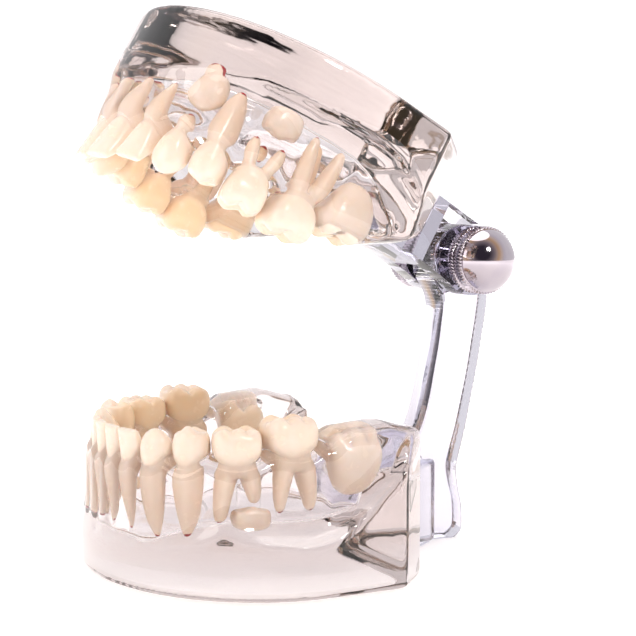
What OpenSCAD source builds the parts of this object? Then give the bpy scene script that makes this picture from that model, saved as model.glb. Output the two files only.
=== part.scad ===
// Clear dental teaching model: two clear cast jaws of a mixed dentition, with their teeth cast in,
// joined at the back by a clear arm, a clear fork and a clamped steel rod.
// +Z is up, the incisors face -Y, the patient's left side is +X. The origin is the centre of the
// lower jaw's flat underside. The upper jaw is drawn in its level pose and then swung open.

/* [Jaw bases] */
// Width of both jaw bases
base_w = 73; // [71:0.5:75]
// Y of the front of the lower base
lower_front_y = -27; // [-28:0.5:-26.5]
// Y of the front of the upper base
upper_front_y = -29; // [-30:0.5:-28]
// Depth of the lower base's front curve
lower_curve_depth = 32.4; // [30:0.2:34]
// Depth of the upper base's front curve
upper_curve_depth = 38.5; // [36:0.5:40]
// Y of the flat back of both bases
base_back_y = 28; // [27.5:0.1:28.5]
// Cut across each back corner, along X and along Y
heel_cut = [3.5, 7]; // [3:0.5:8]
// Rounding of the outer edges
edge_round = 1.2; // [0.8:0.1:1.6]
// Height of the upper base's flat top above the lower base's underside, jaws level
level_height = 70; // [69.5:0.5:71]

/* [Hinge] */
// Y and Z of the pivot
pivot = [52.7, 59.3]; // [50:0.1:62]
// Angle by which the upper jaw stands open from level
open_angle = 29.3; // [20:0.1:35]
// Diameter of the pivot rod
rod_d = 5; // [4.5:0.1:5.5]
// Radial running clearance on the rod
running_gap = 0.05; // [0.03:0.01:0.08]
// Width of the lower arm along X
arm_w = 8; // [7.5:0.1:8.4]
// Radius of the eye at the arm's top
eye_r = 7.2; // [6.8:0.1:7.4]
// Radius of each ear of the fork
ear_r = 7.4; // [7:0.1:7.6]
// Inner and outer X of each ear
ear_x = [4.3, 9]; // [4:0.1:10]
// Radius over the knurling of the collars and the knobs
knurl_r = 6.95; // [6.6:0.05:7.1]
// Number of knurling teeth
knurl_teeth = 60; // [48:4:72]
// Depth of the knurling
knurl_depth = 0.35; // [0.2:0.05:0.5]

/* [Teeth] */
// Half width, front curve depth and centre Y of the lower arch
lower_arch_size = [25, 18.5, -3.5]; // [-4:0.1:26]
// Half width, front curve depth and centre Y of the upper arch
upper_arch_size = [24.6, 25, 1]; // [0:0.1:26]
// Gap between neighbouring teeth
tooth_gap = 0.2; // [0.15:0.05:0.3]
// Clearance between a tooth and its socket in the resin
socket_gap = 0.04; // [0.03:0.01:0.06]
// Sides of a tooth's cross-section
tooth_sides = 12; // [10:2:12]

/* [Hidden] */
// Each tooth: name, kind, width along the arch, thickness, crown height, root length,
// Z of its neck, lean of the crown outwards in degrees
LOWER_TEETH = [
    ["central_incisor", "incisor", 5.2, 5.6, 7.2, 12, 22.4, 8],
    ["lateral_incisor", "incisor", 5.7, 5.9, 7.2, 12.5, 22.4, 8],
    ["canine", "canine", 6.6, 6.8, 7.7, 13, 22.4, 5],
    ["first_premolar", "premolar", 6.8, 7.2, 7.6, 13, 23.4, 2],
    ["deciduous_second_molar", "lower_milk_molar", 9.4, 8.8, 6.5, 11.4, 24.3, -2],
    ["first_molar", "lower_molar", 10.4, 9.8, 7.2, 10.8, 25.2, -3],
];
UPPER_TEETH = [
    ["central_incisor", "incisor", 8, 6.6, 8, 12.5, 45.4, 15],
    ["lateral_incisor", "incisor", 6.2, 6.2, 7.2, 11.5, 45.8, 14],
    ["deciduous_canine", "canine", 6.6, 6.8, 7, 5.5, 45.8, 8],
    ["first_premolar", "premolar", 6.8, 8, 7, 12, 47, 4],
    ["deciduous_second_molar", "upper_molar", 8.4, 9.4, 6.6, 7, 45, 2],
    ["first_molar", "upper_molar", 9.8, 10.6, 7.2, 12.5, 45.2, 3],
];
// Each unerupted germ: name, width, thickness, crown height, root stub, distance along the
// arch from the midline, offset inwards, Z of its neck, lean
LOWER_GERMS = [
    ["second_premolar_germ", 6.4, 5.6, 4.4, 1.2, 32.2, 0.4, 11.9, 0],
    ["second_molar_germ", 10.8, 9.6, 7.2, 4.4, 52.3, 0, 20.6, -4],
];
UPPER_GERMS = [
    ["canine_germ", 7, 6.4, 7, 2.4, 19.2, 2.6, 59, 12],
    ["second_premolar_germ", 6.4, 6.4, 5.4, 1.6, 33.4, 0, 58.7, 0],
    ["second_molar_germ", 10.2, 10.4, 7.6, 4.2, 51.2, 0, 50.2, 6],
];
SIDES = ["left", "right"];
function tooth_names(jaw, list) = [for (side = SIDES) for (t = list) str(jaw, "_", side, "_", t[0])];

clear_resin = [0.93, 0.9, 0.88, 0.45];
ivory = [0.96, 0.87, 0.76];
arc_step = 2;
sliver = 0.01;
big = 80;

// ---- dental arch: a half ellipse at the front and straight branches behind it ----
function ellipse_point(size, t) = [size[0] * sin(t), size[2] - size[1] * cos(t)];
function arc_lengths(size) = [
    for (i = 0, run = 0; i <= 90 / arc_step;
         run = run + norm(ellipse_point(size, (i + 1) * arc_step) - ellipse_point(size, i * arc_step)),
         i = i + 1)
        [run, i * arc_step]];
LOWER_ARCH = [lower_arch_size, arc_lengths(lower_arch_size)];
UPPER_ARCH = [upper_arch_size, arc_lengths(upper_arch_size)];
branch_spread = 0.05;
function quarter_length(arch) = arch[1][len(arch[1]) - 1][0];
function arch_point(arch, s) =
    let (q = abs(s), size = arch[0], past = q - quarter_length(arch),
         p = past <= 0 ? ellipse_point(size, lookup(q, arch[1]))
                       : [size[0] + branch_spread * past, size[2] + past])
    [s < 0 ? -p[0] : p[0], p[1]];
function arch_heading(arch, s) =
    let (t = lookup(min(abs(s), quarter_length(arch)), arch[1]), size = arch[0],
         h = atan2(size[1] * sin(t), size[0] * cos(t)))
    s < 0 ? -h : h;
function outward(arch, s) = let (h = arch_heading(arch, s)) [sin(h), -cos(h)];
// distance of tooth i's centre from the midline, along the arch
function tooth_place(list, i) =
    list[i][2] / 2 + (i == 0 ? tooth_gap / 2 : tooth_place(list, i - 1) + list[i - 1][2] / 2 + tooth_gap);

// ---- teeth: lofts of rings, neck at z = 0, crown upwards, +x away from the midline, +y inwards ----
function ring(rx, ry, z, shift_x, shift_y, square) = [
    for (i = [0:tooth_sides - 1])
        let (a = 360 * (i + 0.5) / tooth_sides, c = cos(a), s = sin(a))
        [shift_x + rx * sign(c) * pow(abs(c), square), shift_y + ry * sign(s) * pow(abs(s), square), z]];
module loft(rings) {
    n = tooth_sides;
    last = len(rings) - 1;
    points = [for (r = rings) for (p = r) p];
    bottom = [for (i = [0:n - 1]) i];
    top = [for (i = [n - 1:-1:0]) last * n + i];
    walls = [for (k = [0:last - 1]) for (i = [0:n - 1]) let (j = (i + 1) % n)
        for (f = [[k * n + i, (k + 1) * n + i, (k + 1) * n + j], [k * n + i, (k + 1) * n + j, k * n + j]]) f];
    polyhedron(points, concat([bottom], walls, [top]), convexity = 4);
}
// A profile row: share of the crown height (or of the root, where negative), half width and half
// thickness as shares of the whole, and the shift outwards as a share of the thickness
INCISOR = [[-1, 0.1, 0.13, -0.1], [-0.7, 0.22, 0.3, -0.04], [-0.3, 0.32, 0.42, 0], [0, 0.37, 0.46, 0],
    [0.3, 0.46, 0.46, 0.02], [0.6, 0.49, 0.32, 0.1], [0.85, 0.49, 0.2, 0.17], [1, 0.45, 0.1, 0.2]];
CANINE = [[-1, 0.1, 0.12, -0.1], [-0.7, 0.24, 0.28, -0.04], [-0.3, 0.34, 0.42, 0], [0, 0.38, 0.46, 0],
    [0.35, 0.48, 0.48, 0.02], [0.62, 0.48, 0.38, 0.06], [0.85, 0.34, 0.24, 0.1], [1, 0.1, 0.1, 0.12]];
PREMOLAR = [[-1, 0.1, 0.12, 0], [-0.7, 0.22, 0.28, 0], [-0.3, 0.33, 0.4, 0], [0, 0.38, 0.44, 0],
    [0.35, 0.49, 0.5, 0], [0.7, 0.48, 0.47, 0], [0.92, 0.36, 0.36, 0], [1, 0.2, 0.22, 0]];
MOLAR_CROWN = [[-0.22, 0.36, 0.36, 0], [0, 0.42, 0.43, 0], [0.35, 0.49, 0.5, 0], [0.7, 0.49, 0.48, 0],
    [0.93, 0.44, 0.41, 0], [1, 0.34, 0.3, 0]];
GERM = [[-1, 0.3, 0.3, 0], [0, 0.42, 0.43, 0], [0.35, 0.5, 0.5, 0], [0.65, 0.48, 0.48, 0],
    [0.88, 0.38, 0.38, 0], [1, 0.22, 0.22, 0]];
// A molar root: share of the root length, radius share of the width, reach along the spread
MOLAR_ROOT = [[0.06, 0.2, 0.5], [0.35, 0.19, 0.8], [0.7, 0.14, 1], [1, 0.07, 1.04]];

function profile_rings(rows, w, t, crown, root, g, square) = [
    for (r = rows)
        ring(w * r[1] + g, t * r[2] + g, r[0] * (r[0] < 0 ? root : crown) + (r == rows[0] ? -g : 0)
            + (r[0] == 1 ? g : 0), 0, -t * r[3], square)];
function root_rings(reach_x, reach_y, w, t, root, g) = [
    for (i = [len(MOLAR_ROOT) - 1:-1:0])
        let (r = MOLAR_ROOT[i])
        ring(w * r[1] + g, t * r[1] * (reach_y == 0 ? 1.7 : 1.1) + g,
            -root * r[0] - (r[0] == 1 ? g : 0), reach_x * r[2], reach_y * r[2], 1)];

// The molars' roots stand apart by these shares of the width and the thickness
root_spread = 0.27;
cheek_root = 0.2;
palate_root = 0.26;
// The milk molar's back root is part resorbed above the germ below it
resorbed_share = 0.66;
module tooth_shape(kind, w, t, crown, root, g) {
    if (kind == "incisor") loft(profile_rings(INCISOR, w, t, crown, root, g, 0.9));
    if (kind == "canine") loft(profile_rings(CANINE, w, t, crown, root, g, 1));
    if (kind == "premolar") loft(profile_rings(PREMOLAR, w, t, crown, root, g, 0.9));
    if (kind == "germ") loft(profile_rings(GERM, w, t, crown, root, g, 0.9));
    if (kind == "lower_molar" || kind == "lower_milk_molar" || kind == "upper_molar")
        loft(profile_rings(MOLAR_CROWN, w, t, crown, crown, g, 0.75));
    reach = root_spread * w;
    if (kind == "lower_molar" || kind == "lower_milk_molar") {
        loft(root_rings(-reach, 0, w, t, root, g));
        loft(root_rings(reach, 0, w, t, kind == "lower_molar" ? root : resorbed_share * root, g));
    }
    if (kind == "upper_molar") {
        for (side = [-1, 1]) loft(root_rings(side * reach, -cheek_root * t, w, t, root, g));
        loft(root_rings(0, palate_root * t, w, t, root, g));
    }
}
module on_arch(arch, s, inwards, z, lean, upper) {
    p = arch_point(arch, s) - inwards * outward(arch, s);
    translate([p[0], p[1], z])
        rotate([0, 0, arch_heading(arch, s)])
            mirror([0, 0, upper ? 1 : 0])
                rotate([lean, 0, 0])
                    children();
}
module on_side(side) {
    mirror([side == "right" ? 1 : 0, 0, 0]) children();
}
module lower_tooth(i, g = 0) {
    t = LOWER_TEETH[i];
    on_arch(LOWER_ARCH, tooth_place(LOWER_TEETH, i), 0, t[6], t[7], false)
        tooth_shape(t[1], t[2], t[3], t[4], t[5], g);
}
module upper_tooth(i, g = 0) {
    t = UPPER_TEETH[i];
    on_arch(UPPER_ARCH, tooth_place(UPPER_TEETH, i), 0, t[6], t[7], true)
        tooth_shape(t[1], t[2], t[3], t[4], t[5], g);
}
module germ(arch, g, upper) {
    on_arch(arch, g[5], g[6], g[7], g[8], upper)
        tooth_shape("germ", g[1], g[2], g[3], g[4], 0);
}

// ---- jaw bodies ----
function base_outline(front_y, curve, inset) =
    let (half = base_w / 2 - inset, back = base_back_y - inset, mid = front_y + curve)
    concat(
        [for (a = [-90:6:90]) [half * sin(a), mid - (curve - inset) * cos(a)]],
        [[half, back - heel_cut[1]], [half - heel_cut[0], back],
         [heel_cut[0] - half, back], [-half, back - heel_cut[1]]]);
module rounded_plate(front_y, curve, z0, z1, round_low, round_high) {
    hull() {
        translate([0, 0, z0])
            linear_extrude(sliver) polygon(base_outline(front_y, curve, round_low));
        translate([0, 0, z0 + round_low])
            linear_extrude(z1 - z0 - round_low - round_high) polygon(base_outline(front_y, curve, 0));
        translate([0, 0, z1 - sliver])
            linear_extrude(sliver) polygon(base_outline(front_y, curve, round_high));
    }
}
// a solid whose side view is the outline given as [y, z] points
module side_profile(points) {
    translate([big / 2, 0, 0])
        rotate([0, -90, 0])
            linear_extrude(big) polygon([for (p = points) [p[1], p[0]]]);
}
// the ridge's half thickness and the height of its crest, against the distance along the arch
RIDGE_HALF = [[0, 4.6], [22, 5.2], [36, 6.2], [62, 6.8]];
LOWER_CREST = [[0, 24.8], [30, 25.4], [44, 26.8], [49, 31], [58, 31.4], [64, 29]];
UPPER_CREST = [[0, 44.8], [24, 46], [44, 44.6], [49, 43], [56, 43.6], [63, 48]];
ridge_end = 64;
ridge_step = 8;
ridge_foot = 2;
crest_round = 2.4;
module ridge_post(arch, s, far, crest) {
    p = arch_point(arch, s);
    r = lookup(abs(s), RIDGE_HALF);
    translate([p[0], p[1], far]) mirror([0, 0, crest > far ? 0 : 1]) {
        cylinder(r = r, h = abs(crest - far) - crest_round, $fn = 20);
        cylinder(r = r - crest_round, h = abs(crest - far), $fn = 20);
    }
}
module ridge(arch, far, crests) {
    for (s = [-ridge_end:ridge_step:ridge_end - ridge_step]) hull()
        for (at = [s, s + ridge_step])
            ridge_post(arch, at, far, lookup(abs(at), crests));
}
inner_end = 58;
function inner_outline(arch, gap) =
    [for (s = [-inner_end:4:inner_end]) arch_point(arch, s) - gap * outward(arch, s)];
// side views of the two bases beside the ridge, as [y, z] points
LOWER_SHELF = [[-40, 0], [-40, 6.5], [-15, 7], [-10, 12], [-4, 11], [2, 10.4], [7, 11.5], [13, 15.5],
    [20, 21.4], [25, 26], [27.8, 27], [40, 27], [40, 0]];
UPPER_SHELF = [[-40, 80], [-40, 58], [-24, 57], [-14, 60], [7, 61], [14, 60.5], [20, 57], [25.5, 52.4],
    [40, 51], [40, 80]];
lower_top = 33;
upper_low = 36;
tongue_gap = 6.2;
floor_z = 10;
// Height of the low wall between the heels, and Y of the screw head's seat in it
wall_top = 17.5;
seat_y = 21.5;
notch_half = 17;
notch_size = 20;
screw_z = 10.5;
dowel_x = 8;
screw_d = 3.9;
dowel_d = 3;
screw_hole_d = 4;
dowel_hole_d = 3.04;
screw_head_d = 7;
screw_head_h = 2.4;
screw_recess = 2.6;
module along_y(x, z, y0, y1, d) {
    translate([x, y0, z]) rotate([-90, 0, 0]) cylinder(d = d, h = y1 - y0, $fn = 32);
}

module lower_jaw_body() {
    color(clear_resin) difference() {
        intersection() {
            rounded_plate(lower_front_y, lower_curve_depth, 0, lower_top, edge_round, edge_round);
            union() {
                side_profile(LOWER_SHELF);
                ridge(LOWER_ARCH, ridge_foot, LOWER_CREST);
            }
        }
        translate([0, 0, floor_z]) linear_extrude(lower_top) polygon(inner_outline(LOWER_ARCH, tongue_gap));
        translate([-notch_half, base_back_y + 6 - notch_size, wall_top])
            cube([2 * notch_half, notch_size, notch_size]);
        for (side = SIDES) on_side(side)
            for (i = [0:len(LOWER_TEETH) - 1]) lower_tooth(i, socket_gap);
        along_y(0, screw_z, seat_y - 10, base_back_y + 1, screw_hole_d);
        along_y(0, screw_z, seat_y - 10, seat_y + screw_recess, screw_head_d + 0.2);
        for (x = [-dowel_x, dowel_x]) along_y(x, screw_z, seat_y + 1, base_back_y + 1, dowel_hole_d);
    }
}

fork_wall = 28;
fork_screw_x = 5;
fork_screw_z = 63;
// How far each fork screw runs into the jaw and into the fork
fork_screw_reach = [9.5, 7.4];
module upper_jaw_level() {
    difference() {
        intersection() {
            rounded_plate(upper_front_y, upper_curve_depth, upper_low, level_height, edge_round, edge_round);
            union() {
                side_profile(UPPER_SHELF);
                ridge(UPPER_ARCH, level_height - ridge_foot, UPPER_CREST);
            }
        }
        palate();
        for (side = SIDES) on_side(side)
            for (i = [0:len(UPPER_TEETH) - 1]) upper_tooth(i, socket_gap);
        for (x = [-fork_screw_x, fork_screw_x])
            along_y(x, fork_screw_z, fork_wall - fork_screw_reach[0] - 0.5, fork_wall + 1, screw_hole_d);
    }
}
palate_gap = 5.6;
palate_rim_z = [34, 40];
vault_z = [57, 51];
vault_y = [4, 32];
vault_d = [22, 20];
module palate() {
    hull() {
        translate([0, 0, palate_rim_z[0]])
            linear_extrude(palate_rim_z[1] - palate_rim_z[0])
                polygon(inner_outline(UPPER_ARCH, palate_gap));
        for (i = [0, 1])
            translate([0, vault_y[i], vault_z[i] - 1]) cylinder(d = vault_d[i], h = 1, $fn = 24);
    }
}
module swing() {
    translate([0, pivot[0], pivot[1]])
        rotate([-open_angle, 0, 0])
            translate([0, -pivot[0], -pivot[1]])
                children();
}
module upper_jaw_body() {
    color(clear_resin) swing() upper_jaw_level();
}

// ---- hinge ----
module across_x(x0, x1, r, y = pivot[0], z = pivot[1]) {
    translate([x0, y, z]) rotate([0, 90, 0]) cylinder(r = r, h = x1 - x0, $fn = 64);
}
// side view of the lower arm, as [y, z] points from the heel up the back and down the front
arm_profile = [[base_back_y, 0], [53, 0], [53.8, 0.8], [53.7, 7], [52.9, 10.6], [52.4, 14.1], [52.7, 16.5],
    [53.6, 20], [54.7, 24], [56, 30], [57.3, 36], [58.4, 42], [59.3, 47], [59.9, 51], [59.9, 59.3],
    [45.5, 59.3], [47.4, 55.6], [49, 51], [48.6, 46.5], [47.9, 41.5], [46.9, 36.5], [45.9, 31.5],
    [44.7, 27], [43.3, 23.5], [41.3, 20.4], [38.6, 18.4], [36, 17.5], [base_back_y, 17.5]];
foot_half = 12;
foot_shoulder = 5;
foot_taper_y = 47;
module lower_arm() {
    color(clear_resin) difference() {
        union() {
            translate([-arm_w / 2, 0, 0]) rotate([90, 0, 90]) linear_extrude(arm_w) polygon(arm_profile);
            across_x(-arm_w / 2, arm_w / 2, eye_r);
            linear_extrude(wall_top) polygon([[-foot_half, base_back_y], [foot_half, base_back_y],
                [foot_half, base_back_y + foot_shoulder], [arm_w / 2, foot_taper_y],
                [-arm_w / 2, foot_taper_y], [-foot_half, base_back_y + foot_shoulder]]);
        }
        across_x(-big / 2, big / 2, rod_d / 2 + running_gap);
        along_y(0, screw_z, base_back_y - 1, screw_tip, screw_hole_d);
        for (x = [-dowel_x, dowel_x]) along_y(x, screw_z, base_back_y - 1, dowel_tip + 0.5, dowel_hole_d);
    }
}
screw_tip = 51.4;
dowel_tip = 34;
// A countersunk screw along Y with its head at y0, and a cross slot in the head
module screw_along_y(x, z, y0, y1) {
    translate([x, y0, z]) rotate([-90, 0, 0]) difference() {
        union() {
            cylinder(d1 = screw_head_d, d2 = screw_d, h = screw_head_h, $fn = 48);
            cylinder(d = screw_d, h = y1 - y0, $fn = 48);
        }
        for (turn = [0, 90]) rotate([0, 0, turn]) translate([-2, -0.35, -1]) cube([4, 0.7, 2]);
    }
}
module lower_arm_screw() {
    color(clear_resin) screw_along_y(0, screw_z, seat_y + 0.1, screw_tip - 0.1);
}
module lower_arm_dowels() {
    color(clear_resin) for (x = [-dowel_x, dowel_x])
        along_y(x, screw_z, seat_y + 1.2, dowel_tip, dowel_d);
}
module fork_screw(x) {
    along_y(x, fork_screw_z, fork_wall - fork_screw_reach[0], fork_wall + fork_screw_reach[1], screw_d);
}
module upper_fork_screws() {
    color(clear_resin) swing() for (x = [-fork_screw_x, fork_screw_x]) fork_screw(x);
}
fork_slot_r = 9;
// side view of the fork in the level pose
fork_profile = [[fork_wall, 53], [40, 53.4], [47, 52.8], [50, 52.4], [52.7, 53], [52.7, 66],
    [50, 66.3], [44, 66.6], [36, 67], [fork_wall, 67.2]];
module upper_fork() {
    color(clear_resin) swing() difference() {
        union() {
            translate([-ear_x[1], 0, 0])
                rotate([90, 0, 90]) linear_extrude(2 * ear_x[1]) polygon(fork_profile);
            across_x(-ear_x[1], ear_x[1], ear_r);
        }
        translate([-ear_x[0], pivot[0] - fork_slot_r, 40]) cube([2 * ear_x[0], 40, 40]);
        across_x(-big / 2, big / 2, rod_d / 2 + running_gap);
        for (x = [-fork_screw_x, fork_screw_x])
            along_y(x, fork_screw_z, fork_wall - 1, fork_wall + fork_screw_reach[1] + 0.6, screw_hole_d);
    }
}
collar_x = [9.3, 11.4];
band_x = [12, 14.4];
knob_boss_r = 5.8;
// The dome is part of a ball of radius dome_r about X = dome_x, with a short neck at the band
dome_r = 6.94;
dome_x = 11.96;
dome_neck_r = 6.4;
rod_end = 15.4;
module pivot_rod() {
    color("silver") across_x(-rod_end, rod_end, rod_d / 2);
}
module knurled(x0, x1, hole_x1) {
    difference() {
        translate([x0, pivot[0], pivot[1]]) rotate([90, 0, 90]) linear_extrude(x1 - x0)
            polygon([for (i = [0:2 * knurl_teeth - 1])
                let (a = 180 * i / knurl_teeth, r = knurl_r - (i % 2) * knurl_depth) [r * cos(a), r * sin(a)]]);
        across_x(x0 - 1, hole_x1, rod_d / 2 + running_gap);
    }
}
module lock_collar() {
    knurled(collar_x[0], collar_x[1], collar_x[1] + 1);
}
module knob() {
    difference() {
        union() {
            knurled(band_x[0], band_x[1], band_x[1] + 1);
            across_x(band_x[0] - 0.5, band_x[1] - 1, knob_boss_r);
            translate([0, pivot[0], pivot[1]]) rotate([0, 90, 0]) rotate_extrude($fn = 96) intersection() {
                translate([0, dome_x]) circle(r = dome_r);
                translate([0, band_x[1] - 1]) square([dome_neck_r, 20]);
            }
        }
        across_x(band_x[0] - 1, rod_end + 0.3, rod_d / 2 + running_gap);
    }
}
module left_lock_collar() {
    color("gainsboro") lock_collar();
}
module right_lock_collar() {
    color("gainsboro") on_side("right") lock_collar();
}
module left_knob() {
    color("silver") knob();
}
module right_knob() {
    color("silver") on_side("right") knob();
}

lower_jaw_body();
lower_arm();
lower_arm_screw();
lower_arm_dowels();
pivot_rod();
left_lock_collar();
right_lock_collar();
left_knob();
right_knob();
upper_jaw_body();
upper_fork();
upper_fork_screws();
for (side = SIDES) {
    for (i = [0:len(LOWER_TEETH) - 1])
        color(ivory) on_side(side) lower_tooth(i);
    for (i = [0:len(UPPER_TEETH) - 1])
        color(ivory) swing() on_side(side) upper_tooth(i);
    for (g = LOWER_GERMS)
        color(ivory) on_side(side) germ(LOWER_ARCH, g, false);
    for (g = UPPER_GERMS)
        color(ivory) swing() on_side(side) germ(UPPER_ARCH, g, true);
}
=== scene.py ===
import math

import bpy
import numpy as np
from mathutils import Matrix, Vector


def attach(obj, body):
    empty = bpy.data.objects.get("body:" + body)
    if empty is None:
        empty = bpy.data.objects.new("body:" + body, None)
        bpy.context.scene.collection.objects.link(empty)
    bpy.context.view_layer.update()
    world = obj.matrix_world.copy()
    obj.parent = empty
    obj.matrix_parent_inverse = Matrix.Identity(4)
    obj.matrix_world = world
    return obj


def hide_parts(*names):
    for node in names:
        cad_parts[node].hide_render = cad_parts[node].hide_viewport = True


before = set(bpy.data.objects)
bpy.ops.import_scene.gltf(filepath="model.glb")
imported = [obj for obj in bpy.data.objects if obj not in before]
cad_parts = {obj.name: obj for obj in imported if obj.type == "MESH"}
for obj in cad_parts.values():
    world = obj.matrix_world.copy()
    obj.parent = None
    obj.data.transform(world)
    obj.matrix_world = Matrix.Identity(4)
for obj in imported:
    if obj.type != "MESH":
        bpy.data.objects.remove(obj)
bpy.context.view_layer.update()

# ---------------------------------------------------------------------------------------------
# Camera: a short telephoto a little above table height, on the model's left side.
# It looks slightly down, so the underside of the open upper jaw shows.
CAMERA_PLACE = (0.27007, -0.11854, 0.07166)
CAMERA_TILT = math.radians(85.49)
CAMERA_HEADING = math.radians(62.63)
CAMERA_LENS = 85.03
SENSOR_WIDTH = 36
NEAR_CLIP = 0.01
bpy.ops.object.select_all(action="DESELECT")
bpy.ops.object.camera_add(location=CAMERA_PLACE, rotation=(CAMERA_TILT, 0, CAMERA_HEADING))
camera = bpy.context.object
camera.data.lens = CAMERA_LENS
camera.data.sensor_width = SENSOR_WIDTH
camera.data.clip_start = NEAR_CLIP
bpy.context.scene.camera = camera

# ---------------------------------------------------------------------------------------------
# Studio: a white paper floor that runs off into white, a soft lamp in front, one overhead and
# one to the left. Behind and above the camera the room goes through warm tones to dark.
FLOOR_RADIUS = 3.0
PAPER = "F7F7F8"
PAPER_FIBRE = "FCFCFD"
LIT_FLOOR = (0.12, 0.5)      # the paper's own glow grows between these distances, in metres
LIT_SHARE = (0.3, 1.0)


def linear(hex_code):
    """The linear colour of an sRGB hex value."""
    parts = [int(hex_code[i:i + 2], 16) / 255 for i in (0, 2, 4)]
    return tuple(p / 12.92 if p <= 0.04045 else ((p + 0.055) / 1.055) ** 2.4 for p in parts) + (1.0,)


def step(tree, kind, settings=None, values=None, links=None):
    """One node, with its settings, its socket values and its links."""
    made = tree.nodes.new(kind)
    for key, value in (settings or {}).items():
        setattr(made, key, value)
    for key, value in (values or {}).items():
        made.inputs[key].default_value = value
    for key, source in (links or {}).items():
        tree.links.new(source, made.inputs[key])
    return made


def new_finish(name):
    """An empty node material."""
    finish = bpy.data.materials.new(name)
    finish.use_nodes = True
    finish.node_tree.nodes.clear()
    return finish, finish.node_tree


bpy.ops.object.select_all(action="DESELECT")
bpy.ops.mesh.primitive_circle_add(vertices=96, radius=FLOOR_RADIUS, fill_type="NGON")
floor = bpy.context.object
floor.name = "paper_floor"
paper, tree = new_finish("white_paper")
place = step(tree, "ShaderNodeTexCoord")
fibre = step(tree, "ShaderNodeTexNoise", values={"Scale": 400, "Detail": 3},
             links={"Vector": place.outputs["Object"]})
tone = step(tree, "ShaderNodeMix", {"data_type": "RGBA"},
            {"A": linear(PAPER), "B": linear(PAPER_FIBRE)}, {"Factor": fibre.outputs["Fac"]})
away = step(tree, "ShaderNodeVectorMath", {"operation": "LENGTH"}, links={0: place.outputs["Object"]})
glow = step(tree, "ShaderNodeMapRange",
            values={"From Min": LIT_FLOOR[0], "From Max": LIT_FLOOR[1],
                    "To Min": LIT_SHARE[0], "To Max": LIT_SHARE[1]},
            links={"Value": away.outputs["Value"]})
sheet = step(tree, "ShaderNodeBsdfPrincipled", values={"Roughness": 0.9, "Emission Color": (1, 1, 1, 1)},
             links={"Base Color": tone.outputs["Result"], "Emission Strength": glow.outputs["Result"]})
step(tree, "ShaderNodeOutputMaterial", links={"Surface": sheet.outputs[0]})
floor.data.materials.append(paper)

LAMPS = [
    # name, place, point it faces, size, power, colour
    ("front_softbox", (0.66, 0.02, 0.56), (0, 0, 0.05), 0.16, 2.0, "FFFDF8"),
    ("overhead_softbox", (-0.10, 0.02, 0.80), (0, 0, 0.05), 0.70, 2.2, "FFFFFF"),
    ("side_softbox", (0.10, -0.80, 0.40), (0, 0, 0.05), 0.45, 1.6, "FFFBF6"),
]
for name, spot, target, size, power, colour in LAMPS:
    bpy.ops.object.select_all(action="DESELECT")
    aim = (Vector(target) - Vector(spot)).to_track_quat("-Z", "Y").to_euler()
    bpy.ops.object.light_add(type="AREA", location=spot, rotation=aim)
    lamp = bpy.context.object
    lamp.name = name
    lamp.data.shape = "DISK"
    lamp.data.size = size
    lamp.data.energy = power
    lamp.data.color = linear(colour)[:3]

# the way the room is darkest, and the room's shades from the lit paper towards it
DARK_WAY = (0.80, -0.41, 0.44)
ROOM_SHADES = [(0.22, "ECE7EB"), (0.4, "F0DCC6"), (0.54, "E2BE96"), (0.66, "C4B0A2"), (0.78, "8F8589")]
ROOM_LIGHT, ROOM_DARK, DARK_FROM = "FBF9FB", "3E3843", 0.92
BACKDROP_WHITE = 1.2
world = bpy.data.worlds.new("studio")
bpy.context.scene.world = world
world.use_nodes = True
tree = world.node_tree
tree.nodes.clear()
facing = step(tree, "ShaderNodeTexCoord")
towards = step(tree, "ShaderNodeVectorMath", {"operation": "DOT_PRODUCT"},
               links={0: facing.outputs["Generated"]})
towards.inputs[1].default_value = DARK_WAY
room = step(tree, "ShaderNodeValToRGB", links={"Fac": towards.outputs["Value"]})
room.color_ramp.elements[0].position = 0.0
room.color_ramp.elements[0].color = linear(ROOM_LIGHT)
room.color_ramp.elements[1].position = DARK_FROM
room.color_ramp.elements[1].color = linear(ROOM_DARK)
for place_in, shade in ROOM_SHADES:
    room.color_ramp.elements.new(place_in).color = linear(shade)
seen = step(tree, "ShaderNodeLightPath")
shown = step(tree, "ShaderNodeMix", {"data_type": "RGBA"}, {"B": (BACKDROP_WHITE,) * 3 + (1,)},
             {"Factor": seen.outputs["Is Camera Ray"], "A": room.outputs["Color"]})
glow = step(tree, "ShaderNodeBackground", values={"Strength": 1.0},
            links={"Color": shown.outputs["Result"]})
step(tree, "ShaderNodeOutputWorld", links={"Surface": glow.outputs[0]})
bpy.context.scene.view_settings.view_transform = "Standard"

# ---------------------------------------------------------------------------------------------
# Lower jaw: one block of clear polyester casting resin, poured in a rubber mould and polished.
# A flat plinth carries the horseshoe ridge; a cove runs between them and climbs to the heels.
# Every length below is in millimetres; the last step of each piece turns it into metres.
MM = 0.001
BASE_HALF = 36.5
BASE_BACK = 28.0
HEEL_CUT = (3.5, 7.0)
EDGE_ROUND, TOOTH_EDGE_ROUND = 1.2, 5.0
LOWER_FRONT, LOWER_CURVE, LOWER_TOP = -27.0, 32.4, 33.0
# side view of the plinth beside the ridge, as (y, z)
LOWER_SHELF = [(-40, -5), (-40, 6.5), (-15, 7), (-10, 12), (-4, 11), (2, 10.4), (7, 11.5), (13, 15.5),
               (20, 21.4), (25, 26), (27.8, 27), (40, 27), (40, -5)]
LOWER_ARCH_SIZE = (25, 18.5, -3.5)
BRANCH_SPREAD = 0.05
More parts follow.
